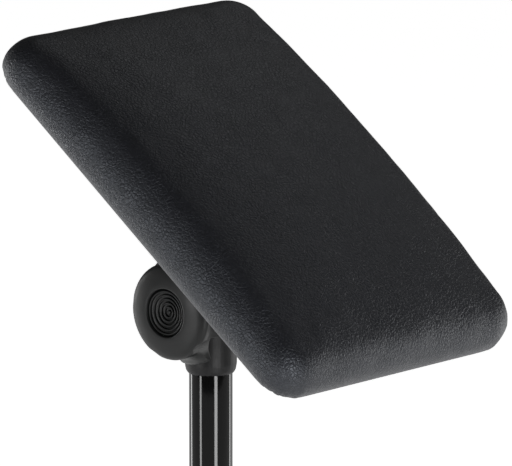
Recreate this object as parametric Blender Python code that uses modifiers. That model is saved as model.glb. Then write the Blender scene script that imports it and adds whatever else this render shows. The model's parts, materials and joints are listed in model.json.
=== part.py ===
"""A padded rest on a tilting head at the top of a round post.

The origin is the centre of the post's lower end face and +Z runs up the post. The pad tilts
about an axis along Y, and +X points to its low end. The clamp knob faces -Y.
"""

import math

import bpy
import bmesh
from mathutils import Matrix, Vector

# Clearance between pieces that touch
GAP = 0.0003

# Post
POST_RADIUS = 0.014
POST_WALL = 0.0015
PIVOT_HEIGHT = 0.240
PLUG_FLANGE = 0.004
PLUG_DEPTH = 0.022

# Head: the heights are below the tilt axis
SOCKET_RADIUS = 0.0168
SOCKET_DROP = 0.046
POST_TOP_DROP = 0.0225
NECK_TOP_DROP = 0.0168
TONGUE_RADIUS = 0.015
TONGUE_HALF_WIDTH = 0.009
SET_SCREW_RADIUS = 0.0025
SET_SCREW_DROP = 0.034

# Clamp stack, measured along the tilt axis from its middle
BOLT_RADIUS = 0.004
BUSH_RADIUS = 0.006
WASHER_THICKNESS = 0.0015
EAR_INNER = TONGUE_HALF_WIDTH + WASHER_THICKNESS + 2 * GAP
EAR_THICKNESS = 0.007
EAR_OUTER = EAR_INNER + EAR_THICKNESS
THRUST_THICKNESS = 0.002
HEX_HALF_FLATS = 0.0065
HEX_HEIGHT = 0.0053

# Clamp knob
KNOB_REAR = EAR_OUTER + THRUST_THICKNESS + 2 * GAP
KNOB_DEPTH = 0.0243
KNOB_RIM = 0.0314
KNOB_SKIRT = 0.0368
SCALLOPS = 5
SCALLOP_ANGLE = math.radians(30)
SCALLOP_CENTRE = 0.0357
SCALLOP_RADIUS = 0.0107
SCALLOP_LEAN = math.radians(12.8)
CAP_RADIUS = 0.0152
CAP_DISH = 0.0030
RING_COUNT = 5

# Pad, on its tilted base plane
TILT = math.radians(38.2)
PAD_LENGTH = 0.3050
PAD_WIDTH = 0.2290
PAD_SHIFT = -0.0164
PAD_STANDOFF = 0.0678
PAD_EDGE = 0.0313
PAD_CROWN = 0.0187
PAD_CORNER = 0.0218
SHOULDER = 0.0157
UNDER_ROLL = 0.0066
COVER = 0.0012
HEM = 0.030
BOARD = 0.012
BOARD_INSET = 0.003
CLOTH = 0.0006
CLOTH_INSET = 0.014

# Bracket flange and its bolts
FLANGE_LENGTH = 0.090
FLANGE_WIDTH = 0.064
FLANGE = 0.005
BOLTS_X = 0.035
BOLTS_Y = 0.022
PLATE_BOLT_RADIUS = 0.003
LOCK_WASHER = 0.0014
TEE_BARREL = 0.0043
TEE_FLANGE = 0.0095
TEE_PLATE = 0.0013

STEPS = 40

PARTS = None
CUTTERS = None


# ---------------------------------------------------------------- scene

def clear_scene():
    for item in list(bpy.data.objects):
        bpy.data.objects.remove(item, do_unlink=True)
    for group in list(bpy.data.collections):
        bpy.data.collections.remove(group)


def collection(name):
    made = bpy.data.collections.new(name)
    bpy.context.scene.collection.children.link(made)
    return made


def material(name, colour, roughness, metallic=0.0):
    made = bpy.data.materials.new(name)
    made.use_nodes = True
    shader = made.node_tree.nodes["Principled BSDF"]
    shader.inputs["Base Color"].default_value = (*colour, 1.0)
    shader.inputs["Roughness"].default_value = roughness
    shader.inputs["Metallic"].default_value = metallic
    return made


def make_materials():
    return {
        "gloss_black": material("gloss_black", (0.010, 0.010, 0.011), 0.12, 0.3),
        "black_plastic": material("black_plastic", (0.022, 0.023, 0.025), 0.45),
        "leatherette": material("leatherette", (0.016, 0.016, 0.018), 0.50),
        "foam": material("foam", (0.50, 0.47, 0.38), 0.90),
        "plywood": material("plywood", (0.55, 0.40, 0.24), 0.65),
        "dust_fabric": material("dust_fabric", (0.020, 0.020, 0.020), 0.90),
        "zinc_steel": material("zinc_steel", (0.62, 0.63, 0.64), 0.35, 1.0),
        "brass": material("brass", (0.70, 0.52, 0.22), 0.35, 1.0),
        "nylon": material("nylon", (0.75, 0.74, 0.70), 0.50),
    }


def empty(name, parent=None, location=(0, 0, 0), rotation=(0, 0, 0)):
    made = bpy.data.objects.new(name, None)
    PARTS.objects.link(made)
    made.parent = parent
    made.location = location
    made.rotation_euler = rotation
    return made


def add(name, mesh, finish, parent=None, location=(0, 0, 0), rotation=(0, 0, 0)):
    """Puts a mesh in the scene as the sub-part of that name."""
    made = bpy.data.objects.new(name, mesh)
    PARTS.objects.link(made)
    made.parent = parent
    made.location = location
    made.rotation_euler = rotation
    mesh.materials.clear()
    mesh.materials.append(finish)
    mesh.shade_smooth()
    mesh.set_sharp_from_angle(angle=math.radians(35))
    return made


def cut(target, name, mesh, parent=None, location=(0, 0, 0), rotation=(0, 0, 0), operation="DIFFERENCE"):
    """Cuts a closed mesh from a sub-part, or joins it on."""
    tool = bpy.data.objects.new(name, mesh)
    CUTTERS.objects.link(tool)
    tool.parent = parent
    tool.location = location
    tool.rotation_euler = rotation
    tool.hide_render = True
    tool.display_type = "WIRE"
    step = target.modifiers.new(name, "BOOLEAN")
    step.operation = operation
    step.solver = "EXACT"
    step.object = tool
    return tool


# ---------------------------------------------------------------- shapes

def finished(shape, name):
    """A bmesh made into a mesh, with its faces pointing out."""
    bmesh.ops.recalc_face_normals(shape, faces=shape.faces)
    mesh = bpy.data.meshes.new(name)
    shape.to_mesh(mesh)
    shape.free()
    return mesh


def cylinder(name, radius, low, high, sides=STEPS, turned=0.0):
    """A cylinder or prism along Z between two heights."""
    shape = bmesh.new()
    place = Matrix.Translation((0, 0, (low + high) / 2)) @ Matrix.Rotation(turned, 4, "Z")
    bmesh.ops.create_cone(
        shape, cap_ends=True, segments=sides, radius1=radius, radius2=radius,
        depth=high - low, matrix=place)
    return finished(shape, name)


def block(name, low, high):
    shape = bmesh.new()
    low, high = Vector(low), Vector(high)
    place = Matrix.Translation((low + high) / 2) @ Matrix.Diagonal((*(high - low), 1.0))
    bmesh.ops.create_cube(shape, size=1.0, matrix=place)
    return finished(shape, name)


def turned_piece(name, profile, finish, parent=None, location=(0, 0, 0), rotation=(0, 0, 0),
                 closed=False, steps=STEPS):
    """A solid turned about Z from (radius, height) points, down its outer side."""
    mesh = bpy.data.meshes.new(name)
    points = [(radius, 0.0, height) for radius, height in profile]
    edges = [(i, i + 1) for i in range(len(points) - 1)]
    if closed:
        edges.append((len(points) - 1, 0))
    mesh.from_pydata(points, edges, [])
    made = add(name, mesh, finish, parent, location, rotation)
    screw = made.modifiers.new("turn", "SCREW")
    screw.axis = "Z"
    screw.angle = math.tau
    screw.steps = steps
    screw.render_steps = steps
    screw.use_merge_vertices = True
    screw.merge_threshold = 0.00001
    screw.use_smooth_shade = True
    return made


def ring_piece(name, inner, outer, low, high, finish, parent=None, location=(0, 0, 0),
               rotation=(0, 0, 0), chamfer=0.0, steps=STEPS):
    """A washer or sleeve along Z with chamfered outer edges."""
    profile = [
        (outer - chamfer, high), (outer, high - chamfer),
        (outer, low + chamfer), (outer - chamfer, low),
        (inner, low), (inner, high),
    ]
    if chamfer == 0.0:
        profile = [(outer, high), (outer, low), (inner, low), (inner, high)]
    return turned_piece(name, profile, finish, parent, location, rotation, closed=True, steps=steps)


def corner_ring(length, width, corner, inset, arc_steps=5, long_steps=8, short_steps=6):
    """Points round a rounded rectangle that is inset all round, anticlockwise from +X."""
    half_x, half_y = length / 2 - inset, width / 2 - inset
    radius = min(max(corner - inset, 0.0), half_x, half_y)
    core_x, core_y = half_x - radius, half_y - radius
    points = []
    for quarter, (sign_x, sign_y) in enumerate(((1, 1), (-1, 1), (-1, -1), (1, -1))):
        for step in range(arc_steps + 1):
            angle = math.pi / 2 * (quarter + step / arc_steps)
            points.append((sign_x * core_x + radius * math.cos(angle),
                           sign_y * core_y + radius * math.sin(angle)))
        along_x = quarter % 2 == 0
        pieces = long_steps if along_x else short_steps
        last_x, last_y = points[-1]
        for step in range(1, pieces):
            share = step / pieces
            if along_x:
                points.append((last_x * (1 - 2 * share), last_y))
            else:
                points.append((last_x, last_y * (1 - 2 * share)))
    return points


def plate(name, length, width, corner, low, high):
    """A flat plate with rounded corners."""
    shape = bmesh.new()
    ring = corner_ring(length, width, corner, 0.0, 6, 1, 1)
    face = shape.faces.new([shape.verts.new((x, y, low)) for x, y in ring])
    grown = bmesh.ops.extrude_face_region(shape, geom=[face])["geom"]
    top = [item for item in grown if isinstance(item, bmesh.types.BMVert)]
    bmesh.ops.translate(shape, verts=top, vec=(0, 0, high - low))
    return finished(shape, name)


def crown(x, y):
    """How far the pad's top stands above its corners' top."""
    along = 1 - abs(2 * x / PAD_LENGTH) ** 2.4
    across = 1 - 0.6 * abs(2 * y / PAD_WIDTH) ** 2.5
    return PAD_CROWN * along * across


def pad_stations(skin, wall_low):
    """(inset, height, share of the crown) from the foot of the pad's wall to its middle."""
    stations = [(skin, wall_low, 0.0), (skin, PAD_EDGE - SHOULDER, 0.0)]
    bend = SHOULDER - skin
    for step in range(1, 7):
        angle = math.pi / 2 * step / 6
        stations.append((SHOULDER - bend * math.cos(angle),
                         PAD_EDGE - SHOULDER + bend * math.sin(angle), math.sin(angle)))
    for step in range(1, 8):
        inset = SHOULDER + (PAD_WIDTH / 2 - SHOULDER) * step / 7
        stations.append((inset, PAD_EDGE - skin, 1.0))
    return stations


def lofted(name, stations, floor):
    """A surface through the pad's stations, which close at the middle line of its top."""
    shape = bmesh.new()
    rings = []
    for inset, height, share in stations:
        outline = corner_ring(PAD_LENGTH, PAD_WIDTH, PAD_CORNER, inset)
        rings.append([shape.verts.new((x, y, height + share * crown(x, y))) for x, y in outline])
    for low, high in zip(rings, rings[1:]):
        count = len(low)
        for i in range(count):
            j = (i + 1) % count
            shape.faces.new((low[i], low[j], high[j], high[i]))
    if floor:
        shape.faces.new(list(reversed(rings[0])))
    bmesh.ops.remove_doubles(shape, verts=shape.verts, dist=0.00002)
    bmesh.ops.dissolve_degenerate(shape, edges=shape.edges, dist=0.00002)
    return finished(shape, name)


# ---------------------------------------------------------------- post and head

def make_post(finish):
    post_top = PIVOT_HEIGHT - POST_TOP_DROP
    inner = POST_RADIUS - POST_WALL
    ring_piece("post_tube", inner, POST_RADIUS, PLUG_FLANGE + GAP, post_top,
               finish["gloss_black"], chamfer=0.0004)
    plug_radius = inner - GAP
    turned_piece("post_end_plug", [
        (0.0, PLUG_DEPTH), (plug_radius - 0.001, PLUG_DEPTH), (plug_radius, PLUG_DEPTH - 0.002),
        (plug_radius, PLUG_FLANGE), (POST_RADIUS, PLUG_FLANGE), (POST_RADIUS, 0.0015),
        (POST_RADIUS - 0.0015, 0.0), (0.0, 0.0),
    ], finish["black_plastic"])


def make_head(finish):
    """The socket on the post, the neck above it and the tongue round the tilt axis."""
    foot = PIVOT_HEIGHT - SOCKET_DROP
    neck_top = PIVOT_HEIGHT - NECK_TOP_DROP
    head = turned_piece("post_head", [
        (0.0, neck_top), (SOCKET_RADIUS - 0.0020, neck_top), (SOCKET_RADIUS - 0.0006, neck_top - 0.0008),
        (SOCKET_RADIUS, neck_top - 0.0022), (SOCKET_RADIUS, foot + 0.0070),
        (SOCKET_RADIUS - 0.0008, foot + 0.0028), (SOCKET_RADIUS - 0.0026, foot), (0.0, foot),
    ], finish["black_plastic"])
    tongue = plate("tongue", 2 * TONGUE_RADIUS, 2 * TONGUE_HALF_WIDTH, 0.002,
                   neck_top - 0.002, PIVOT_HEIGHT)
    cut(head, "tongue", tongue, operation="UNION")
    round_end = cylinder("tongue_end", TONGUE_RADIUS, -TONGUE_HALF_WIDTH, TONGUE_HALF_WIDTH)
    cut(head, "tongue_end", round_end, location=(0, 0, PIVOT_HEIGHT), rotation=(math.pi / 2, 0, 0),
        operation="UNION")
    socket_roof = PIVOT_HEIGHT - POST_TOP_DROP + GAP
    cut(head, "socket_bore", cylinder("socket_bore", POST_RADIUS + GAP, foot - 0.01, socket_roof))
    cut(head, "bush_bore", cylinder("bush_bore", BUSH_RADIUS + GAP, -0.02, 0.02),
        location=(0, 0, PIVOT_HEIGHT), rotation=(math.pi / 2, 0, 0))
    for number, side in ((1, 1), (2, -1)):
        turn = (0, side * math.pi / 2, math.radians(60))
        hole = cylinder("set_screw_hole", SET_SCREW_RADIUS + GAP, 0.005, 0.03, 24)
        cut(head, f"set_screw_hole_{number}", hole,
            location=(0, 0, PIVOT_HEIGHT - SET_SCREW_DROP), rotation=turn)
        screw = add(f"head_screw_{number}",
                    cylinder("head_screw", SET_SCREW_RADIUS, POST_RADIUS + GAP, SOCKET_RADIUS - 0.0004, 24),
                    finish["zinc_steel"], location=(0, 0, PIVOT_HEIGHT - SET_SCREW_DROP), rotation=turn)
        cut(screw, f"screw_socket_{number}",
            cylinder("screw_socket", 0.0014, SOCKET_RADIUS - 0.0016, SOCKET_RADIUS + 0.002, 6),
            location=(0, 0, PIVOT_HEIGHT - SET_SCREW_DROP), rotation=turn)


def make_pivot_rings(finish, axis):
    """The bush in the tongue and the friction washers on its two sides."""
    ring_piece("pivot_bush", BOLT_RADIUS + GAP, BUSH_RADIUS, -TONGUE_HALF_WIDTH, TONGUE_HALF_WIDTH,
               finish["brass"], axis)
    for name, side in (("friction_washer_knob_side", 1), ("friction_washer_far_side", -1)):
        middle = side * (TONGUE_HALF_WIDTH + GAP + WASHER_THICKNESS / 2)
        ring_piece(name, BOLT_RADIUS + GAP, TONGUE_RADIUS - 0.001, middle - WASHER_THICKNESS / 2,
                   middle + WASHER_THICKNESS / 2, finish["nylon"], axis)


# ---------------------------------------------------------------- bracket

def ear_mesh(top):
    """One ear of the fork, round below the tilt axis and wider where it meets the flange."""
    shape = bmesh.new()
    points = []
    for step in range(25):
        angle = math.pi + math.pi * step / 24
        points.append((TONGUE_RADIUS * math.cos(angle), TONGUE_RADIUS * math.sin(angle)))
    spread = FLANGE_LENGTH / 2 - 0.016
    points.append((TONGUE_RADIUS, 0.020))
    points.append((spread, top))
    points.append((-spread, top))
    points.append((-TONGUE_RADIUS, 0.020))
    face = shape.faces.new([shape.verts.new((x, 0.0, z)) for x, z in points])
    grown = bmesh.ops.extrude_face_region(shape, geom=[face])["geom"]
    moved = [item for item in grown if isinstance(item, bmesh.types.BMVert)]
    bmesh.ops.translate(shape, verts=moved, vec=(0, EAR_THICKNESS, 0))
    return finished(shape, "ear")


def make_fork(finish, tilt):
    flange_top = PAD_STANDOFF - CLOTH - 2 * GAP
    flange_low = flange_top - FLANGE
    fork = add("pad_fork", plate("pad_fork", FLANGE_LENGTH, FLANGE_WIDTH, 0.010, flange_low, flange_top),
               finish["black_plastic"], tilt)
    sink = 0.002
    for number, start in ((1, EAR_INNER), (2, -EAR_OUTER)):
        cut(fork, f"ear_{number}", ear_mesh(flange_low + sink), tilt, (0, start, 0), operation="UNION")
    web = block("web", (-0.006, -EAR_INNER - 0.002, 0.024), (0.006, EAR_INNER + 0.002, flange_low + sink))
    cut(fork, "web", web, tilt, operation="UNION")
    cut(fork, "bolt_bore", cylinder("bolt_bore", BOLT_RADIUS + GAP, -0.03, 0.03, 32), tilt,
        rotation=(math.pi / 2, 0, 0))
    pocket = cylinder("hex_pocket", (HEX_HALF_FLATS + GAP) / math.cos(math.pi / 6),
                      -EAR_OUTER - 0.01, -EAR_OUTER + 0.004, 6)
    cut(fork, "hex_pocket", pocket, tilt, rotation=(math.pi / 2, 0, 0))
    for number, (x, y) in enumerate(bolt_places(), 1):
        hole = cylinder("flange_hole", PLATE_BOLT_RADIUS + GAP, flange_low - 0.01, flange_top + 0.01, 24)
        cut(fork, f"flange_hole_{number}", hole, tilt, (x, y, 0))


def bolt_places():
    return [(x, y) for x in (-BOLTS_X, BOLTS_X) for y in (-BOLTS_Y, BOLTS_Y)]


def make_clamp_bolt(finish, axis):
    """The bolt through both ears: +Z of its axis points to the knob."""
    head_rear = -EAR_OUTER + 0.004 - GAP
    shank_end = KNOB_REAR + 0.0155
    bolt = turned_piece("clamp_bolt", [
        (0.0, shank_end), (BOLT_RADIUS - 0.0008, shank_end), (BOLT_RADIUS, shank_end - 0.0008),
        (BOLT_RADIUS, head_rear - 0.001), (0.0, head_rear - 0.001),
    ], finish["zinc_steel"], axis, steps=32)
    head = cylinder("hex_head", HEX_HALF_FLATS / math.cos(math.pi / 6), head_rear - HEX_HEIGHT, head_rear, 6)
    cut(bolt, "hex_head", head, axis, operation="UNION")


def make_flange_bolts(finish, tilt):
    flange_low = PAD_STANDOFF - CLOTH - 2 * GAP - FLANGE
    board_low = PAD_STANDOFF + COVER + GAP
    board_top = board_low + BOARD
    for number, (x, y) in enumerate(bolt_places(), 1):
        washer_top = flange_low - GAP
        washer_low = washer_top - LOCK_WASHER
        ring_piece(f"lock_washer_{number}", PLATE_BOLT_RADIUS + GAP, 0.0058, washer_low, washer_top,
                   finish["zinc_steel"], tilt, (x, y, 0), steps=32)
        head_top = washer_low - GAP
        tip = board_top - 0.0015
        bolt = turned_piece(f"plate_bolt_{number}", [
            (0.0, tip), (PLATE_BOLT_RADIUS - 0.0006, tip), (PLATE_BOLT_RADIUS, tip - 0.0006),
            (PLATE_BOLT_RADIUS, head_top), (0.0052, head_top), (0.0052, head_top - 0.0034),
            (0.0046, head_top - 0.0042), (0.0, head_top - 0.0042),
        ], finish["zinc_steel"], tilt, (x, y, 0), steps=24)
        key = cylinder("key_socket", 0.0029, head_top - 0.006, head_top - 0.0018, 6)
        cut(bolt, f"key_socket_{number}", key, tilt, (x, y, 0))
        plate_top = board_top - GAP
        turned_piece(f"t_nut_{number}", [
            (TEE_FLANGE, plate_top), (TEE_FLANGE, plate_top - TEE_PLATE),
            (TEE_BARREL, plate_top - TEE_PLATE), (TEE_BARREL, board_low + 0.0015),
            (PLATE_BOLT_RADIUS + GAP, board_low + 0.0015), (PLATE_BOLT_RADIUS + GAP, plate_top),
        ], finish["zinc_steel"], tilt, (x, y, 0), closed=True, steps=24)


# ---------------------------------------------------------------- pad

def make_board(finish, base):
    low = COVER + GAP
    top = low + BOARD
    length, width = PAD_LENGTH - 2 * BOARD_INSET, PAD_WIDTH - 2 * BOARD_INSET
    board = add("base_board", plate("base_board", length, width, PAD_CORNER - BOARD_INSET, low, top),
                finish["plywood"], base)
    edge = board.modifiers.new("eased_edges", "BEVEL")
    edge.width = 0.004
    edge.segments = 2
    edge.limit_method = "ANGLE"
    for number, (x, y) in enumerate(bolt_places(), 1):
        place = (x - PAD_SHIFT, y, 0)
        cut(board, f"barrel_hole_{number}", cylinder("barrel_hole", TEE_BARREL + GAP, low - 0.01, top + 0.01, 24),
            base, place)
        recess = cylinder("tee_recess", TEE_FLANGE + GAP, top - TEE_PLATE - 2 * GAP, top + 0.01, 24)
        cut(board, f"tee_recess_{number}", recess, base, place)
    return board


def make_foam(finish, base):
    skin = COVER + GAP
    stations = pad_stations(skin, COVER + BOARD + 2 * GAP)
    add("foam_core", lofted("foam_core", stations, floor=True), finish["foam"], base)


def make_cover(finish, base):
    stations = [(HEM, 0.0, 0.0)]
    for step in range(5):
        angle = math.pi / 2 * step / 4
        stations.append((UNDER_ROLL * (1 - math.sin(angle)), UNDER_ROLL * (1 - math.cos(angle)), 0.0))
    stations += pad_stations(0.0, UNDER_ROLL)[1:]
    cover = add("pad_cover", lofted("pad_cover", stations, floor=False), finish["leatherette"], base)
    sheet = cover.modifiers.new("leather_thickness", "SOLIDIFY")
    sheet.thickness = COVER
    sheet.offset = -1.0


def make_cloth(finish, base):
    inset = 2 * CLOTH_INSET
    cloth = add("dust_cloth", plate("dust_cloth", PAD_LENGTH - inset, PAD_WIDTH - inset, 0.012,
                                    -GAP - CLOTH, -GAP), finish["dust_fabric"], base)
    for number, (x, y) in enumerate(bolt_places(), 1):
        cut(cloth, f"cloth_hole_{number}", cylinder("cloth_hole", PLATE_BOLT_RADIUS + 2 * GAP, -0.01, 0.01, 24),
            base, (x - PAD_SHIFT, y, 0))


# ---------------------------------------------------------------- clamp knob

def knob_shell(finish, axis, face):
    """A domed face, a rim, a waist and a skirt that flares to the rear, with finger scallops cut round it."""
    outline = [
        (0.0, 0.0), (0.0165, 0.0), (0.0220, 0.0005), (0.0270, 0.0018), (0.0300, 0.0034),
        (KNOB_RIM, 0.0056), (0.0312, 0.0078), (0.0306, 0.0105), (0.0316, 0.0140), (0.0340, 0.0180),
        (0.0362, 0.0212), (KNOB_SKIRT, 0.0226), (0.0362, 0.0240), (0.0350, KNOB_DEPTH), (0.0, KNOB_DEPTH),
    ]
    knob = turned_piece("knob_body", [(radius, face - depth) for radius, depth in outline],
                        finish["black_plastic"], axis, steps=60)
    for scallop in range(SCALLOPS):
        angle = SCALLOP_ANGLE + math.tau * scallop / SCALLOPS
        foot = (SCALLOP_CENTRE * math.cos(angle), SCALLOP_CENTRE * math.sin(angle), KNOB_REAR)
        cut(knob, f"scallop_{scallop + 1}", cylinder("scallop", SCALLOP_RADIUS, -0.02, 0.05, 48), axis, foot,
            (0, SCALLOP_LEAN, angle))
    return knob


def make_knob(finish, axis):
    face = KNOB_REAR + KNOB_DEPTH
    insert_top = KNOB_REAR + 0.0140
    knob = knob_shell(finish, axis, face)
    cap_floor = face - CAP_DISH - 0.0030
    cut(knob, "cap_recess", cylinder("cap_recess", CAP_RADIUS + GAP, cap_floor, face + 0.01), axis)
    cut(knob, "insert_bore", cylinder("insert_bore", 0.0070 + GAP, KNOB_REAR - 0.01, insert_top + GAP), axis)
    cut(knob, "bolt_end_room", cylinder("bolt_end_room", BOLT_RADIUS + 2 * GAP, KNOB_REAR, cap_floor + 0.001, 32),
        axis)
    ring_piece("knob_insert", BOLT_RADIUS + GAP, 0.0070, KNOB_REAR + 0.0002, insert_top, finish["brass"],
               axis, chamfer=0.0005)
    make_cap(finish, axis, cap_floor + GAP, face)
    ring_piece("thrust_washer", BOLT_RADIUS + GAP, 0.0120, EAR_OUTER + GAP, EAR_OUTER + GAP + THRUST_THICKNESS,
               finish["zinc_steel"], axis, chamfer=0.0004)


def make_cap(finish, axis, low, face):
    """The dished cap in the knob's face: concentric rings that step down to its middle."""
    profile = [(CAP_RADIUS, low)]
    pitch = CAP_RADIUS / (RING_COUNT + 1)
    step_down = CAP_DISH / RING_COUNT
    for ring in range(RING_COUNT):
        outer = CAP_RADIUS - ring * pitch
        height = face - 0.0004 - ring * step_down
        profile = [(outer - 0.6 * pitch, height - 0.0012), (outer - 0.6 * pitch, height), (outer, height)] + profile
        profile = [(outer - pitch, height - 0.0012)] + profile
    profile = [(0.0, profile[0][1] + 0.0004)] + [(profile[0][0], profile[0][1] + 0.0004)] + profile
    turned_piece("knob_cap", profile + [(0.0, low)], finish["black_plastic"], axis)


# ---------------------------------------------------------------- assembly

def main():
    global PARTS, CUTTERS
    clear_scene()
    PARTS = collection("tilting_padded_rest")
    CUTTERS = collection("cutters")
    finish = make_materials()
    pivot = empty("tilt_axis", None, (0, 0, PIVOT_HEIGHT))
    head_axis = empty("head_axis", pivot, rotation=(math.pi / 2, 0, 0))
    tilt = empty("pad_tilt", pivot, rotation=(0, TILT, 0))
    base = empty("pad_base", tilt, (PAD_SHIFT, 0, PAD_STANDOFF))
    bolt_axis = empty("bolt_axis", tilt, rotation=(math.pi / 2, 0, 0))
    knob_axis = empty("knob_axis", pivot, rotation=(math.pi / 2, 0, 0))

    make_post(finish)
    make_head(finish)
    make_pivot_rings(finish, head_axis)
    make_fork(finish, tilt)
    make_clamp_bolt(finish, bolt_axis)
    make_flange_bolts(finish, tilt)
    make_board(finish, base)
    make_foam(finish, base)
    make_cover(finish, base)
    make_cloth(finish, base)
    make_knob(finish, knob_axis)


main()
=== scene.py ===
"""The looks of the padded rest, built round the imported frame.

Pad shapes are made on the pad's own base plane and knob shapes along the tilt axis, then
placed by the two matrices below.
"""

import json
import math
import random

import bpy
import bmesh
from mathutils import Matrix, Vector, noise


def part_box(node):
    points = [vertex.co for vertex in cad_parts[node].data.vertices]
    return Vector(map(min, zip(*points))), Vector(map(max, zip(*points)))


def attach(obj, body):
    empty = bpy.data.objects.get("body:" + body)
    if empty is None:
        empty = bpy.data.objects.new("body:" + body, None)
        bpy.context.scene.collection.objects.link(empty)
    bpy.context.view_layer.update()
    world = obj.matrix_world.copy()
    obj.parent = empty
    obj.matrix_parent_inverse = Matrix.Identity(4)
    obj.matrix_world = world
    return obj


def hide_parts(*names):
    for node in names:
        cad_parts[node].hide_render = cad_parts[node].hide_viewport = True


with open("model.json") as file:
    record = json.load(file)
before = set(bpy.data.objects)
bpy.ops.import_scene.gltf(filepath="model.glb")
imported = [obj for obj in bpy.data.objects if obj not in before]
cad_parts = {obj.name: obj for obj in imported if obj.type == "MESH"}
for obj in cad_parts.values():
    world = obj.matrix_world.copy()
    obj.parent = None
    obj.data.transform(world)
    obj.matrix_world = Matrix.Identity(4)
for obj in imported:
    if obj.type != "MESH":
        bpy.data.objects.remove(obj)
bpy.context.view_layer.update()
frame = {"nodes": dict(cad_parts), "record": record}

# ---------------------------------------------------------------- driving sizes, metres

JOINTS = {joint["name"]: joint for joint in frame["record"]["behaviour"]["joints"]}
PIVOT = Vector(JOINTS["pad_tilt"]["pos_m"])
TILT = math.radians(38.2)
PAD_SHIFT = -0.0164
PAD_STANDOFF = 0.0678
PAD_PLANE = (Matrix.Translation(PIVOT) @ Matrix.Rotation(TILT, 4, "Y")
             @ Matrix.Translation((PAD_SHIFT, 0, PAD_STANDOFF)))
KNOB_AXIS = Matrix.Translation(PIVOT) @ Matrix.Rotation(math.pi / 2, 4, "X")

PAD_LENGTH = 0.3050
PAD_WIDTH = 0.2290
PAD_EDGE = 0.0313
PAD_CROWN = 0.0187
PAD_CORNER = 0.0218
SHOULDER = 0.0157
UNDER_ROLL = 0.0066

KNOB_FACE = -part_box("knob_body")[0].y
KNOB_REAR = -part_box("knob_body")[1].y
CAP_RADIUS = 0.0152
KNOB_SKIRT = 0.0366
SCALLOPS = 5
SCALLOP_ANGLE = math.radians(30)
SCALLOP_RADIUS = 0.0107
SCALLOP_CENTRE = 0.0357  # of the scallops' cylinders at the knob's rear; they lean outward to the front
SCALLOP_LEAN = math.radians(12.8)
SCALLOP_EDGE = 0.0003

POST_RADIUS = 0.014
POST_WALL = 0.0015

PIECES = bpy.data.collections.new("pieces")
bpy.context.scene.collection.children.link(PIECES)


# ---------------------------------------------------------------- node helpers

def new_material(name, colour, roughness, metallic=0.0):
    made = bpy.data.materials.new(name)
    made.use_nodes = True
    shader = made.node_tree.nodes["Principled BSDF"]
    shader.inputs["Base Color"].default_value = (*colour, 1.0)
    shader.inputs["Roughness"].default_value = roughness
    shader.inputs["Metallic"].default_value = metallic
    return made, made.node_tree, shader


def node(tree, kind, **values):
    made = tree.nodes.new(kind)
    for key, value in values.items():
        if key in made.inputs:
            made.inputs[key].default_value = value
        else:
            setattr(made, key, value)
    return made


def place_of(tree):
    return node(tree, "ShaderNodeTexCoord").outputs["Object"]


def noise_of(tree, place, scale, detail=3.0):
    made = node(tree, "ShaderNodeTexNoise", Scale=scale, Detail=detail)
    tree.links.new(place, made.inputs["Vector"])
    return made.outputs["Fac"]


def cells_of(tree, place, scale, feature="F1"):
    made = node(tree, "ShaderNodeTexVoronoi", feature=feature)
    made.inputs["Scale"].default_value = scale
    tree.links.new(place, made.inputs["Vector"])
    return made.outputs["Distance"]


def math_of(tree, operation, first, second):
    made = node(tree, "ShaderNodeMath", operation=operation)
    for socket, value in zip(made.inputs, (first, second)):
        if isinstance(value, (int, float)):
            socket.default_value = value
        else:
            tree.links.new(value, socket)
    return made.outputs[0]


def spread(tree, value, low, high, start=0.0, end=1.0):
    """Maps a value from start..end to low..high."""
    made = node(tree, "ShaderNodeMapRange")
    for key, number in (("From Min", start), ("From Max", end), ("To Min", low), ("To Max", high)):
        made.inputs[key].default_value = number
    tree.links.new(value, made.inputs["Value"])
    return made.outputs["Result"]


def two_colours(tree, factor, first, second):
    made = node(tree, "ShaderNodeMix", data_type="RGBA")
    made.inputs["A"].default_value = (*first, 1.0)
    made.inputs["B"].default_value = (*second, 1.0)
    tree.links.new(factor, made.inputs["Factor"])
    return made.outputs["Result"]


def bump(tree, shader, height, distance, strength=1.0):
    made = node(tree, "ShaderNodeBump")
    made.inputs["Distance"].default_value = distance
    made.inputs["Strength"].default_value = strength
    tree.links.new(height, made.inputs["Height"])
    tree.links.new(made.outputs["Normal"], shader.inputs["Normal"])
    return made


# ---------------------------------------------------------------- materials

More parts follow.
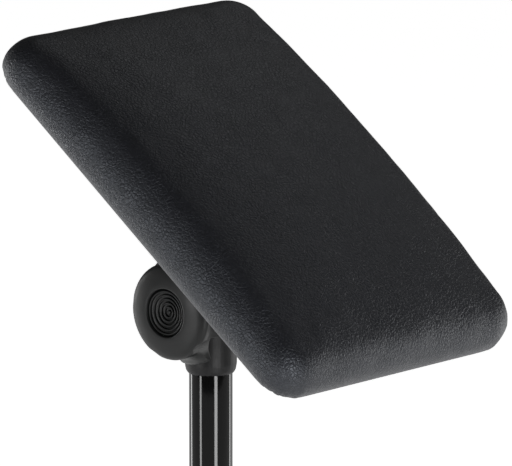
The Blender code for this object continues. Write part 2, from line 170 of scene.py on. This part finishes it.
def leatherette():
    """Black grained vinyl: small pebbles with creases between them, softer over wide patches; the colour is darkened
    in the creases as painted shade.
    """
    made, tree, shader = new_material("leatherette_black", (0.010, 0.010, 0.012), 0.42)
    place = place_of(tree)
    warp = node(tree, "ShaderNodeTexNoise", Scale=260.0, Detail=2.0)
    tree.links.new(place, warp.inputs["Vector"])
    bent = node(tree, "ShaderNodeMix", data_type="VECTOR")
    bent.inputs["Factor"].default_value = 0.0016
    tree.links.new(place, bent.inputs["A"])
    tree.links.new(warp.outputs["Color"], bent.inputs["B"])
    grain_place = bent.outputs["Result"]
    pebbles = cells_of(tree, grain_place, 620.0, "SMOOTH_F1")
    creases = spread(tree, cells_of(tree, grain_place, 430.0, "DISTANCE_TO_EDGE"), 0.0, 1.0, 0.0, 0.16)
    patches = noise_of(tree, place, 60.0, 2.0)
    rounded = spread(tree, pebbles, 1.0, 0.0, 0.05, 0.75)
    height = math_of(tree, "ADD", math_of(tree, "MULTIPLY", rounded, 0.55),
                     math_of(tree, "MULTIPLY", creases, 0.45))
    uneven = math_of(tree, "MULTIPLY", height, spread(tree, patches, 0.65, 1.1, 0.3, 0.7))
    bump(tree, shader, uneven, 0.00042, 0.9)
    # painted shade: the base colour is darker in the creases between the pebbles, where the bump sinks
    tree.links.new(two_colours(tree, creases, (0.0022, 0.0022, 0.0028), (0.0046, 0.0046, 0.0060)),
                   shader.inputs["Base Color"])
    tree.links.new(spread(tree, height, 0.56, 0.42), shader.inputs["Roughness"])
    shader.inputs["Specular IOR Level"].default_value = 0.30
    shader.inputs["Specular Tint"].default_value = (0.86, 0.92, 1.0, 1.0)
    return made


def moulded_plastic(name, colour, roughness=0.42, grain=0.00003):
    """Moulded plastic with a fine spark-eroded skin and slightly uneven gloss."""
    made, tree, shader = new_material(name, colour, roughness)
    place = place_of(tree)
    skin = noise_of(tree, place, 2600.0, 2.0)
    clouds = noise_of(tree, place, 55.0, 3.0)
    bump(tree, shader, skin, grain, 0.5)
    tree.links.new(spread(tree, clouds, roughness - 0.06, roughness + 0.08, 0.3, 0.7),
                   shader.inputs["Roughness"])
    light = tuple(min(1.0, part * 1.25) for part in colour)
    shader.inputs["Specular IOR Level"].default_value = 0.12
    tree.links.new(two_colours(tree, clouds, colour, light), shader.inputs["Base Color"])
    return made


def gloss_paint():
    """Black enamel: smooth, with a faint ripple and fine dust in the gloss."""
    made, tree, shader = new_material("gloss_black_enamel", (0.001, 0.001, 0.001), 0.05)
    place = place_of(tree)
    bump(tree, shader, noise_of(tree, place, 240.0, 1.0), 0.000006, 0.4)
    tree.links.new(spread(tree, noise_of(tree, place, 900.0, 2.0), 0.04, 0.12, 0.35, 0.75),
                   shader.inputs["Roughness"])
    shader.inputs["Specular IOR Level"].default_value = 0.16
    return made


def metal(name, colour, roughness):
    """Plated metal with fine turning lines and dull patches."""
    made, tree, shader = new_material(name, colour, roughness, 1.0)
    place = place_of(tree)
    patches = noise_of(tree, place, 420.0, 4.0)
    bump(tree, shader, noise_of(tree, place, 3000.0, 2.0), 0.00002, 0.4)
    tree.links.new(spread(tree, patches, roughness - 0.08, roughness + 0.15, 0.3, 0.7),
                   shader.inputs["Roughness"])
    dull = tuple(part * 0.8 for part in colour)
    tree.links.new(two_colours(tree, patches, dull, colour), shader.inputs["Base Color"])
    return made


def plywood():
    """Birch plywood: long grain on the faces and plies at the edge."""
    made, tree, shader = new_material("birch_plywood", (0.58, 0.42, 0.26), 0.6)
    place = place_of(tree)
    stretched = node(tree, "ShaderNodeMapping")
    stretched.inputs["Rotation"].default_value = (0, -TILT, 0)
    stretched.inputs["Scale"].default_value = (12, 160, 900)
    tree.links.new(place, stretched.inputs["Vector"])
    grain = noise_of(tree, stretched.outputs["Vector"], 1.0, 5.0)
    tree.links.new(two_colours(tree, grain, (0.40, 0.27, 0.15), (0.68, 0.51, 0.33)),
                   shader.inputs["Base Color"])
    bump(tree, shader, grain, 0.0001, 0.4)
    return made


def foam():
    """Open-cell upholstery foam; the colour is darker in the cell pits as painted shade."""
    made, tree, shader = new_material("yellow_foam", (0.62, 0.56, 0.36), 0.95)
    place = place_of(tree)
    cells = cells_of(tree, place, 900.0)
    # painted shade: the colour is darker where the cells' bump sinks into pits
    tree.links.new(two_colours(tree, cells, (0.45, 0.40, 0.24), (0.68, 0.62, 0.42)),
                   shader.inputs["Base Color"])
    bump(tree, shader, cells, 0.0006, 0.8)
    return made


def spunbond():
    """Thin black spun-bonded cloth with its grid of pressed dimples."""
    made, tree, shader = new_material("black_spunbond", (0.012, 0.012, 0.012), 0.9)
    place = place_of(tree)
    turned = node(tree, "ShaderNodeMapping")
    turned.inputs["Rotation"].default_value = (0, -TILT, 0)
    tree.links.new(place, turned.inputs["Vector"])
    dots = node(tree, "ShaderNodeTexVoronoi", feature="F1")
    dots.inputs["Scale"].default_value = 700.0
    dots.inputs["Randomness"].default_value = 0.15
    tree.links.new(turned.outputs["Vector"], dots.inputs["Vector"])
    fibres = noise_of(tree, place, 1800.0, 4.0)
    height = math_of(tree, "ADD", spread(tree, dots.outputs["Distance"], 0.0, 1.0, 0.1, 0.35),
                     math_of(tree, "MULTIPLY", fibres, 0.6))
    bump(tree, shader, height, 0.0002, 0.8)
    tree.links.new(two_colours(tree, fibres, (0.008, 0.008, 0.008), (0.024, 0.024, 0.025)),
                   shader.inputs["Base Color"])
    shader.inputs["Sheen Weight"].default_value = 0.25
    return made


LEATHER = leatherette()
KNOB_PLASTIC = moulded_plastic("knob_plastic", (0.0050, 0.0052, 0.0052), 0.40)
CAP_PLASTIC = moulded_plastic("cap_plastic", (0.0040, 0.0042, 0.0042), 0.36)
HEAD_PLASTIC = moulded_plastic("head_plastic", (0.0030, 0.0030, 0.0032), 0.46, 0.00012)
PLUG_PLASTIC = moulded_plastic("plug_plastic", (0.006, 0.006, 0.006), 0.55, 0.00008)
NYLON = moulded_plastic("nylon_natural", (0.70, 0.69, 0.64), 0.45)
ENAMEL = gloss_paint()
ZINC = metal("zinc_plate", (0.62, 0.63, 0.65), 0.32)
BRASS = metal("turned_brass", (0.78, 0.58, 0.28), 0.30)
CLOTH = spunbond()
WOOD = plywood()
FOAM = foam()

CAD_FINISH = {
    "post_tube": ENAMEL, "post_end_plug": PLUG_PLASTIC, "post_head": HEAD_PLASTIC,
    "pivot_bush": BRASS, "friction_washer_knob_side": NYLON, "friction_washer_far_side": NYLON,
    "pad_fork": HEAD_PLASTIC, "base_board": WOOD, "foam_core": FOAM, "knob_insert": BRASS,
}


def finish_cad_nodes():
    for name in frame["nodes"]:
        mesh = bpy.data.objects[name].data
        mesh.materials.clear()
        mesh.materials.append(CAD_FINISH.get(name, ZINC))


# ---------------------------------------------------------------- making pieces

def piece(name, shape, finish, body, place=None, sharp=None):
    """A bmesh made into a named piece that rides on a body."""
    bmesh.ops.recalc_face_normals(shape, faces=shape.faces)
    mesh = bpy.data.meshes.new(name)
    shape.to_mesh(mesh)
    shape.free()
    if place is not None:
        mesh.transform(place)
    mesh.materials.append(finish)
    mesh.shade_smooth()
    if sharp is not None:
        mesh.set_sharp_from_angle(angle=math.radians(sharp))
    made = bpy.data.objects.new(name, mesh)
    PIECES.objects.link(made)
    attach(made, body)
    return made


def smooth_path(points, count):
    """Points spread evenly along a smooth curve through the given (x, y) points."""
    dense = []
    padded = [points[0], *points, points[-1]]
    for i in range(1, len(padded) - 2):
        a, b, c, d = (Vector(padded[i + k]) for k in (-1, 0, 1, 2))
        for step in range(12):
            t = step / 12
            dense.append(0.5 * ((2 * b) + (c - a) * t + (2 * a - 5 * b + 4 * c - d) * t * t
                                + (3 * b - a - 3 * c + d) * t ** 3))
    dense.append(Vector(points[-1]))
    lengths = [0.0]
    for a, b in zip(dense, dense[1:]):
        lengths.append(lengths[-1] + (b - a).length)
    path = []
    k = 0
    for i in range(count):
        want = lengths[-1] * i / (count - 1)
        while k < len(lengths) - 2 and lengths[k + 1] < want:
            k += 1
        span = max(lengths[k + 1] - lengths[k], 1e-9)
        path.append(dense[k].lerp(dense[k + 1], min(1.0, (want - lengths[k]) / span)))
    return path


def turned(profile, steps=160):
    """A surface turned about Z from (radius, height) points."""
    shape = bmesh.new()
    rings = []
    for radius, height in profile:
        ring = []
        for step in range(steps):
            angle = math.tau * step / steps
            ring.append(shape.verts.new((radius * math.cos(angle), radius * math.sin(angle), height)))
        rings.append(ring)
    for upper, lower in zip(rings, rings[1:]):
        for i in range(steps):
            j = (i + 1) % steps
            shape.faces.new((upper[i], lower[i], lower[j], upper[j]))
    bmesh.ops.remove_doubles(shape, verts=shape.verts, dist=0.000002)
    return shape


# ---------------------------------------------------------------- pad cover

def rounded_outline(length, width, corner, inset, arc_steps, long_steps, short_steps):
    half_x, half_y = length / 2 - inset, width / 2 - inset
    radius = max(corner - inset, 0.0)
    core_x, core_y = half_x - radius, half_y - radius
    points = []
    for quarter, (sign_x, sign_y) in enumerate(((1, 1), (-1, 1), (-1, -1), (1, -1))):
        for step in range(arc_steps + 1):
            angle = math.pi / 2 * (quarter + step / arc_steps)
            points.append((sign_x * core_x + radius * math.cos(angle),
                           sign_y * core_y + radius * math.sin(angle)))
        along_x = quarter % 2 == 0
        last_x, last_y = points[-1]
        for step in range(1, long_steps if along_x else short_steps):
            share = step / (long_steps if along_x else short_steps)
            points.append((last_x * (1 - 2 * share), last_y) if along_x
                          else (last_x, last_y * (1 - 2 * share)))
    return points


def crown(x, y):
    along = 1 - min(1.0, abs(2 * x / PAD_LENGTH)) ** 2.4
    across = 1 - 0.6 * min(1.0, abs(2 * y / PAD_WIDTH)) ** 2.5
    return PAD_CROWN * along * across


def pad_shape(skin):
    """The pad's closed outer form on its base plane, drawn in by skin."""
    stations = [(PAD_WIDTH / 2, 0.0, 0.0), (UNDER_ROLL, 0.0, 0.0)]
    for step in range(1, 5):
        angle = math.pi / 2 * step / 4
        drawn_in = skin * max(0.0, (step - 2) / 2)
        stations.append((drawn_in + UNDER_ROLL * (1 - math.sin(angle)), UNDER_ROLL * (1 - math.cos(angle)), 0.0))
    stations.append((skin, PAD_EDGE - SHOULDER, 0.0))
    for step in range(1, 9):
        angle = math.pi / 2 * step / 8
        stations.append((SHOULDER - (SHOULDER - skin) * math.cos(angle),
                         PAD_EDGE - SHOULDER + (SHOULDER - skin) * math.sin(angle), math.sin(angle)))
    for step in range(1, 13):
        stations.append((SHOULDER + (PAD_WIDTH / 2 - SHOULDER) * step / 12, PAD_EDGE - skin, 1.0))
    shape = bmesh.new()
    rings = []
    for inset, height, share in stations:
        outline = rounded_outline(PAD_LENGTH, PAD_WIDTH, PAD_CORNER, inset, 8, 20, 14)
        rings.append([shape.verts.new((x, y, height + share * crown(x, y))) for x, y in outline])
    for low, high in zip(rings, rings[1:]):
        for i in range(len(low)):
            j = (i + 1) % len(low)
            shape.faces.new((low[i], low[j], high[j], high[i]))
    bmesh.ops.remove_doubles(shape, verts=shape.verts, dist=0.00002)
    bmesh.ops.dissolve_degenerate(shape, edges=shape.edges, dist=0.00002)
    return shape


def evaluated_mesh(item):
    seen = item.evaluated_get(bpy.context.evaluated_depsgraph_get())
    return bpy.data.meshes.new_from_object(seen)


SKIN = 0.0022
FILL_OUT = 0.0030
VOXEL = 0.005
HELD_BELOW = 0.0100
SWELL_CAP = 0.0030
SWELL_SHARE = 0.25


def inflate(item):
    """How far a pressure cloth simulation moves each point along its normal, capped and scaled down.

    The cap is reached by many points: the form is mostly the CAD's, and this adds at most 0.75 mm.
    """
    start = [point.co.copy() for point in item.data.vertices]
    swells = []
    held = item.vertex_groups.new(name="held")
    for point in item.data.vertices:
        if point.co.z < HELD_BELOW:
            held.add([point.index], 1.0, "REPLACE")
    cloth = item.modifiers.new("cloth", "CLOTH")
    cloth.settings.quality = 6
    cloth.settings.mass = 0.3
    cloth.settings.tension_stiffness = 25.0
    cloth.settings.compression_stiffness = 25.0
    cloth.settings.bending_stiffness = 1.5
    cloth.settings.use_pressure = True
    cloth.settings.uniform_pressure_force = 4.0
    cloth.settings.effector_weights.gravity = 0.0
    cloth.settings.vertex_group_mass = "held"
    scene = bpy.context.scene
    for number in range(1, 21):
        scene.frame_set(number)
    swollen = evaluated_mesh(item)
    ends = [point.co.copy() for point in swollen.vertices]
    scene.frame_set(1)
    item.modifiers.remove(cloth)
    bpy.data.meshes.remove(swollen)
    for point, before, after in zip(item.data.vertices, start, ends):
        swell = (after - before).dot(point.normal)
        free = 0.0 if before.z < HELD_BELOW else 1.0
        swells.append(free * max(-SWELL_CAP, min(SWELL_CAP, swell)) * SWELL_SHARE)
    item.vertex_groups.clear()
    return swells


def corner_pleats(co):
    """Small gathers where the cover is folded under the pad's corners."""
    core_x, core_y = PAD_LENGTH / 2 - PAD_CORNER, PAD_WIDTH / 2 - PAD_CORNER
    from_x, from_y = abs(co.x) - core_x, abs(co.y) - core_y
    if from_x < -0.004 or from_y < -0.004 or co.z > 0.012:
        return 0.0
    angle = math.atan2(from_y, from_x)
    inside = max(0.0, min(1.0, (angle + 0.1) / 0.3)) * max(0.0, min(1.0, (math.pi / 2 + 0.1 - angle) / 0.3))
    low = max(0.0, 1 - co.z / 0.012)
    return -0.0009 * inside * low * max(0.0, math.cos(angle * 20)) ** 2


def make_cover():
    """The padded cover: the pad's form remeshed, filled out along its normals, softened and made finer."""
    shape = pad_shape(SKIN)
    made = piece("leatherette_cover", shape, LEATHER, "pad")
    remesh = made.modifiers.new("even", "REMESH")
    remesh.mode = "VOXEL"
    remesh.voxel_size = VOXEL
    even = evaluated_mesh(made)
    made.modifiers.clear()
    made.data = even
    swells = inflate(made)
    normals = [point.normal.copy() for point in made.data.vertices]
    for point, normal, swell in zip(made.data.vertices, normals, swells):
        share = min(1.0, max(0.0, (point.co.z - 0.003) / (HELD_BELOW - 0.003)))
        point.co += normal * (FILL_OUT * share + swell)
    smooth = made.modifiers.new("smooth", "SMOOTH")
    smooth.factor = 0.4
    smooth.iterations = 1
    finer = made.modifiers.new("finer", "SUBSURF")
    finer.levels = 1
    finer.render_levels = 1
    fine = evaluated_mesh(made)
    made.modifiers.clear()
    made.data = fine
    for point in made.data.vertices:
        normal = point.normal
        soft = 0.00045 * (noise.noise(point.co * 28.0) + 0.5 * noise.noise(point.co * 70.0))
        share = min(1.0, max(0.0, (point.co.z - 0.004) / 0.01))
        point.co += normal * (soft * share + corner_pleats(point.co))
        point.co.z = max(point.co.z, 0.0)
    made.data.materials.clear()
    made.data.materials.append(LEATHER)
    made.data.transform(PAD_PLANE)
    made.data.shade_smooth()
    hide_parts("pad_cover", "foam_core")
    return made


BOARD_EDGE_INSET = 0.0070
BOARD_BOTTOM = 0.0012
BOARD_TOP = 0.0120


def make_board():
    """The plywood board, wholly inside the cover, with softened edges."""
    shape = bmesh.new()
    rings = []
    for inset, height in ((0.0008, BOARD_BOTTOM), (0.0, BOARD_BOTTOM + 0.0008),
                          (0.0, BOARD_TOP - 0.0008), (0.0008, BOARD_TOP)):
        outline = rounded_outline(PAD_LENGTH, PAD_WIDTH, PAD_CORNER, BOARD_EDGE_INSET + inset, 8, 6, 5)
        rings.append([shape.verts.new((x, y, height)) for x, y in outline])
    for low, high in zip(rings, rings[1:]):
        for i in range(len(low)):
            j = (i + 1) % len(low)
            shape.faces.new((low[i], low[j], high[j], high[i]))
    shape.faces.new(rings[0])
    shape.faces.new(rings[-1])
    made = piece("plywood_board", shape, WOOD, "pad", PAD_PLANE, sharp=35)
    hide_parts("base_board")
    return made


# ---------------------------------------------------------------- dust cloth and staples

CLOTH_INSET = 0.014
CLOTH_LENGTH = PAD_LENGTH - 2 * CLOTH_INSET
CLOTH_WIDTH = PAD_WIDTH - 2 * CLOTH_INSET
CLOTH_TOP = -0.0003
STAPLE_PITCH = 0.024


def make_dust_cloth():
    """A cloth panel pulled flat between its staples, sagging a little between them."""
    shape = bmesh.new()
    bmesh.ops.create_grid(shape, x_segments=110, y_segments=80, size=0.5)
    for point in shape.verts:
        x, y = point.co.x * CLOTH_LENGTH, point.co.y * CLOTH_WIDTH
        edge = min(CLOTH_LENGTH / 2 - abs(x), CLOTH_WIDTH / 2 - abs(y))
        inner = min(1.0, edge / 0.02)
        ripple = 0.00030 * noise.noise(Vector((x * 40, y * 40, 3.0)))
        near_long_edge = abs(abs(y) - CLOTH_WIDTH / 2) < abs(abs(x) - CLOTH_LENGTH / 2)
        along = x if near_long_edge else y
        pull = 0.00022 * math.exp(-edge / 0.010) * math.cos(math.tau * along / STAPLE_PITCH)
        point.co = Vector((x, y, CLOTH_TOP - 0.0004 + inner * ripple + pull))
    made = piece("underside_cloth", shape, CLOTH, "pad", PAD_PLANE)
    sheet = made.modifiers.new("cloth_thickness", "SOLIDIFY")
    sheet.thickness = 0.0003
    sheet.offset = 0.0
    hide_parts("dust_cloth")
    return made


def staple_places():
    """Staples along the cloth's four edges, each with its direction."""
    rows = []
    for along, across, turn in ((CLOTH_LENGTH, CLOTH_WIDTH, 0.0), (CLOTH_WIDTH, CLOTH_LENGTH, math.pi / 2)):
        count = round((along - 0.03) / STAPLE_PITCH)
        for side in (-1, 1):
            for i in range(count + 1):
                s = (i / count - 0.5) * (along - 0.03)
                t = side * (across / 2 - 0.006)
                rows.append((s, t, 0.0) if turn == 0.0 else (t, s, turn))
    return rows


def make_staples():
    rng = random.Random(7)
    shape = bmesh.new()
    for x, y, turn in staple_places():
        place = (Matrix.Translation((x + rng.uniform(-0.0008, 0.0008), y + rng.uniform(-0.0008, 0.0008),
                                     CLOTH_TOP - 0.0009))
                 @ Matrix.Rotation(turn + rng.uniform(-0.09, 0.09), 4, "Z"))
        size = Matrix.Diagonal((0.0100, 0.0011, 0.0006, 1.0))
        bar = bmesh.ops.create_cube(shape, size=1.0, matrix=place @ size)["verts"]
        for end in (-1, 1):
            leg = place @ Matrix.Translation((end * 0.0047, 0, 0.0014)) @ Matrix.Diagonal((0.0006, 0.0011, 0.0026, 1))
            bar += bmesh.ops.create_cube(shape, size=1.0, matrix=leg)["verts"]
        edges = list({edge for point in bar for edge in point.link_edges})
        bmesh.ops.bevel(shape, geom=edges, offset=0.00018, segments=2, affect="EDGES")
    return piece("staples", shape, ZINC, "pad", PAD_PLANE, sharp=40)


# ---------------------------------------------------------------- clamp knob

def scalloped(radius, angle, height):
    """The knob's radius after the finger scallops, with their edges rounded over."""
    turn = (angle - SCALLOP_ANGLE + math.pi / SCALLOPS) % (math.tau / SCALLOPS) - math.pi / SCALLOPS
    centre = SCALLOP_CENTRE + (height - KNOB_REAR) * math.tan(SCALLOP_LEAN)
    inside = SCALLOP_RADIUS ** 2 - (centre * math.sin(turn)) ** 2
    if inside <= 0:
        return radius
    hollow = centre * math.cos(turn) - math.sqrt(inside)
    overlap = max(0.0, 1 - abs(radius - hollow) / (3 * SCALLOP_EDGE))
    return min(radius, hollow) - 0.5 * SCALLOP_EDGE * overlap ** 2


KNOB_SOLID = 0.0240  # nothing this close to the axis is scalloped


def make_knob():
    """The bell-shaped knob: a domed face round the cap, a rim, a flared skirt and a hollow back."""
    outline = [
        (0.0042, 0.0090), (0.0150, 0.0090), (CAP_RADIUS + 0.0003, 0.0088), (CAP_RADIUS + 0.0003, 0.0006),
        (CAP_RADIUS + 0.0007, 0.0001), (0.0180, 0.0000), (0.0220, 0.0006), (0.0265, 0.0018),
        (0.0295, 0.0034), (0.0311, 0.0056), (0.0310, 0.0080), (0.0306, 0.0108), (0.0312, 0.0140),
        (0.0332, 0.0180), (0.0357, 0.0212), (KNOB_SKIRT, 0.0228), (0.0364, 0.0239), (0.0352, 0.0243),
        (0.0235, 0.0243), (0.0225, 0.0236), (0.0220, 0.0190), (0.0130, 0.0190), (0.0122, 0.0200),
        (0.0120, 0.0243), (0.0074, 0.0243), (0.0074, 0.0100),
    ]
    sharp_from = 4
    head = [Vector(point) for point in outline[:sharp_from]]
    skirt = smooth_path(outline[sharp_from:18], 70)
    rear = [Vector(point) for point in outline[18:]]
    profile = [(p.x, KNOB_FACE - p.y) for p in [*head, *skirt, *rear]]

    shape = bmesh.new()
    steps = 400
    rings = []
    for radius, height in profile:
        ring = []
        for step in range(steps):
            angle = math.tau * step / steps
            far = scalloped(radius, angle, height) if radius > KNOB_SOLID else radius
            ring.append(shape.verts.new((far * math.cos(angle), far * math.sin(angle), height)))
        rings.append(ring)
    rings.append(rings[0])
    for upper, lower in zip(rings, rings[1:]):
        for i in range(steps):
            j = (i + 1) % steps
            shape.faces.new((upper[i], lower[i], lower[j], upper[j]))
    made = piece("knob_shell", shape, KNOB_PLASTIC, "knob", KNOB_AXIS, sharp=50)
    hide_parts("knob_body")
    return made


RING_PITCH = 0.0026
RING_COUNT = 5


def make_cap():
    """The dished cap: round-topped rings that step down to a small boss."""
    depth_at_middle = 0.0034
    profile = [(CAP_RADIUS, KNOB_FACE - 0.0080), (CAP_RADIUS, KNOB_FACE - 0.0022)]
    for ring in range(RING_COUNT):
        crest = CAP_RADIUS - 0.0014 - ring * RING_PITCH
        level = KNOB_FACE - 0.0006 - depth_at_middle * (1 - (crest / CAP_RADIUS) ** 2) * 0.9
        floor = level - 0.0014
        for step in range(7):
            angle = math.pi * step / 6
            profile.append((crest + 0.00062 * math.cos(angle), level - 0.0005 + 0.0005 * math.sin(angle)))
        profile.append((crest - 0.00066, floor - 0.0002))
        profile.append((crest - RING_PITCH + 0.00072, floor - 0.0005))
    boss = CAP_RADIUS - 0.0014 - RING_COUNT * RING_PITCH
    level = KNOB_FACE - 0.0006 - depth_at_middle * 0.9
    for step in range(7):
        angle = math.pi / 2 * step / 6
        profile.append((max(0.0, boss + 0.0006) * math.cos(angle), level - 0.0006 + 0.0006 * math.sin(angle)))
    profile.append((0.0, KNOB_FACE - 0.0080))
    profile.append((CAP_RADIUS, KNOB_FACE - 0.0080))
    made = piece("ringed_cap", turned(profile, 200), CAP_PLASTIC, "knob", KNOB_AXIS, sharp=55)
    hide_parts("knob_cap")
    return made


# ---------------------------------------------------------------- post and head

def make_post():
    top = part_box("post_tube")[1].z
    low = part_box("post_tube")[0].z
    inner = POST_RADIUS - POST_WALL
    profile = [
        (inner, top), (POST_RADIUS - 0.0004, top), (POST_RADIUS - 0.0001, top - 0.0001),
        (POST_RADIUS, top - 0.0004), (POST_RADIUS, low + 0.0005), (POST_RADIUS - 0.0002, low + 0.0001),
        (POST_RADIUS - 0.0005, low), (inner, low), (inner, top),
    ]
    made = piece("enamelled_post", turned(profile, 192), ENAMEL, "post", sharp=40)
    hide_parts("post_tube")
    return made


MOULD_VOXEL = 0.0006


def make_moulding(name, source, body, smoothing):
    """The CAD solid of a moulded or cast part with its edges rounded over."""
    shape = bmesh.new()
    shape.from_mesh(bpy.data.objects[source].data)
    shape.transform(bpy.data.objects[source].matrix_world)
    made = piece(name, shape, HEAD_PLASTIC, body)
    remesh = made.modifiers.new("even", "REMESH")
    remesh.mode = "VOXEL"
    remesh.voxel_size = MOULD_VOXEL * 1.0
    smooth = made.modifiers.new("rounded", "SMOOTH")
    smooth.factor = 0.5
    smooth.iterations = smoothing
    rounded = evaluated_mesh(made)
    made.modifiers.clear()
    made.data = rounded
    rounded.materials.clear()
    rounded.materials.append(HEAD_PLASTIC)
    rounded.shade_smooth()
    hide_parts(source)
    return made


# ---------------------------------------------------------------- stage, light and camera

FLOOR_Z = -0.45  # the stand that carries the post isn't part of the model


def make_stage():
    shape = bmesh.new()
    bmesh.ops.create_grid(shape, x_segments=1, y_segments=1, size=30.0)
    mesh = bpy.data.meshes.new("floor")
    shape.to_mesh(mesh)
    shape.free()
    floor = bpy.data.objects.new("floor", mesh)
    floor.location.z = FLOOR_Z
    PIECES.objects.link(floor)
    white, tree, shader = new_material("pale_floor", (0.92, 0.92, 0.92), 0.9)
    shader.inputs["Emission Color"].default_value = (1, 1, 1, 1)
    shader.inputs["Emission Strength"].default_value = 0.90
    mesh.materials.append(white)


def soft_box(name, azimuth, elevation, distance, width, height, radiance, centre=(0, 0, 0.05)):
    """A flat lamp that faces the centre, from an azimuth counted like the camera's."""
    data = bpy.data.lights.new(name, "AREA")
    data.shape = "RECTANGLE"
    data.size = width
    data.size_y = height
    data.energy = radiance * width * height * math.pi
    light = bpy.data.objects.new(name, data)
    turn, rise = math.radians(azimuth), math.radians(elevation)
    away = Vector((math.sin(turn) * math.cos(rise), -math.cos(turn) * math.cos(rise), math.sin(rise)))
    light.location = Vector(centre) + away * distance
    light.rotation_euler = (-away).to_track_quat("-Z", "Y").to_euler()
    PIECES.objects.link(light)


CAMERA_AZIMUTH = math.radians(40.32)
CAMERA_ELEVATION = math.radians(11.02)
CAMERA_AIM = Vector((0.0357, 0.0026, 0.2893))
CAMERA_DISTANCE = 4.945
CAMERA_LENS = 548.0


def make_camera():
    data = bpy.data.cameras.new("camera")
    data.lens = CAMERA_LENS
    data.sensor_width = 36.0
    data.clip_end = 200.0
    camera = bpy.data.objects.new("camera", data)
    back = Vector((math.sin(CAMERA_AZIMUTH) * math.cos(CAMERA_ELEVATION),
                   -math.cos(CAMERA_AZIMUTH) * math.cos(CAMERA_ELEVATION), math.sin(CAMERA_ELEVATION)))
    camera.location = CAMERA_AIM + back * CAMERA_DISTANCE
    camera.rotation_mode = "QUATERNION"
    camera.rotation_quaternion = back.to_track_quat("Z", "Y")
    PIECES.objects.link(camera)
    bpy.context.scene.camera = camera


def make_light():
    """A dim studio: four tall strips that streak the post, a top box behind and a low fill."""
    world = bpy.data.worlds.new("studio")
    world.use_nodes = True
    world.node_tree.nodes["Background"].inputs["Color"].default_value = (1, 1, 1, 1)
    world.node_tree.nodes["Background"].inputs["Strength"].default_value = 0.10
    bpy.context.scene.world = world
    camera = math.degrees(CAMERA_AZIMUTH)
    soft_box("strip_front_right", camera + 27, 0, 1.6, 0.42, 0.9, 26)
    soft_box("strip_front_left", camera - 54, 0, 1.6, 0.26, 0.9, 22)
    soft_box("strip_back_left", camera - 121, 0, 1.6, 0.24, 0.9, 12)
    soft_box("strip_back_right", camera + 120, 0, 1.6, 0.20, 0.9, 12)
    soft_box("top_box_behind", 180, 44, 2.4, 1.8, 1.1, 1.0, (0, 0, 0.3))
    soft_box("front_fill", camera - 70, 35, 2.4, 0.9, 0.9, 1.2, (0, 0, 0.3))
    bpy.context.scene.view_settings.view_transform = "Standard"


def main():
    make_stage()
    make_camera()
    make_light()
    finish_cad_nodes()
    make_cover()
    make_board()
    make_dust_cloth()
    make_staples()
    make_knob()
    make_cap()
    make_post()
    make_moulding("moulded_head", "post_head", "post", 6)
    make_moulding("moulded_fork", "pad_fork", "pad", 4)


main()
